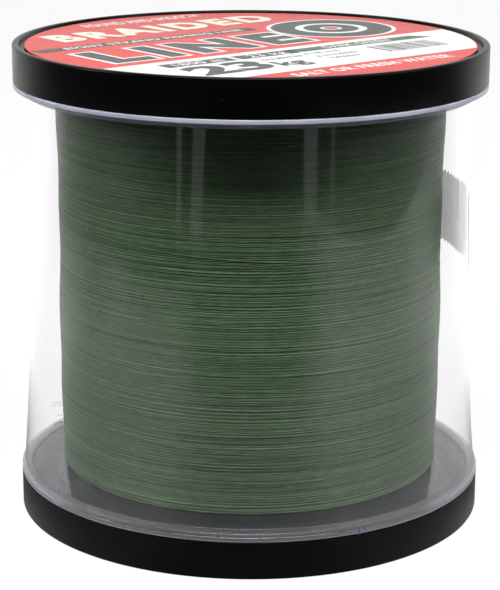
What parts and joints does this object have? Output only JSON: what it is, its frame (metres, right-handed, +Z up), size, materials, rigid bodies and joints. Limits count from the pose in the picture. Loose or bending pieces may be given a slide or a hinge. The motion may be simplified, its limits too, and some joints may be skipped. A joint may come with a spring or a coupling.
{
  "type": "fishing line spool",
  "caption": "Large bulk spool of dark green braided fishing line, with clear flanges, black end caps, a printed top disc and a clear film sleeve taped shut.",
  "frame": {"origin": "centre of the underside of the lower end cap, on the spool's axis", "axes": "+Z up along the spool's axis, -Y towards the front, +X to the right seen from the front"},
  "size_m": [0.12, 0.12, 0.121],
  "materials": {
    "black_plastic": "satin",
    "printed_paper": "satin",
    "clear_plastic": "gloss",
    "green_braid": "matte",
    "clear_film": "gloss",
    "clear_tape": "satin"
  },
  "bodies": {
    "spool": {"lower_spool_half": "clear_plastic", "upper_spool_half": "clear_plastic", "line_winding": "green_braid", "line_start_tape": "clear_tape", "line_end_tape": "clear_tape"},
    "sleeve": {"sleeve_film": "clear_film", "sleeve_tape": "clear_tape"},
    "upper_cap": {"upper_end_cap": "black_plastic", "upper_label": "printed_paper"},
    "lower_cap": {"lower_end_cap": "black_plastic"}
  },
  "joints": [
    {"name": "sleeve_turn", "type": "hinge", "parent": "spool", "child": "sleeve", "pos_m": [0, 0, 0.0605], "axis": [0, 0, 1], "continuous": true},
    {"name": "upper_cap_pull", "type": "slide", "parent": "spool", "child": "upper_cap", "axis": [0, 0, 1], "range_m": [0, 0.025]},
    {"name": "lower_cap_pull", "type": "slide", "parent": "spool", "child": "lower_cap", "axis": [0, 0, -1], "range_m": [0, 0.025]}
  ]
}
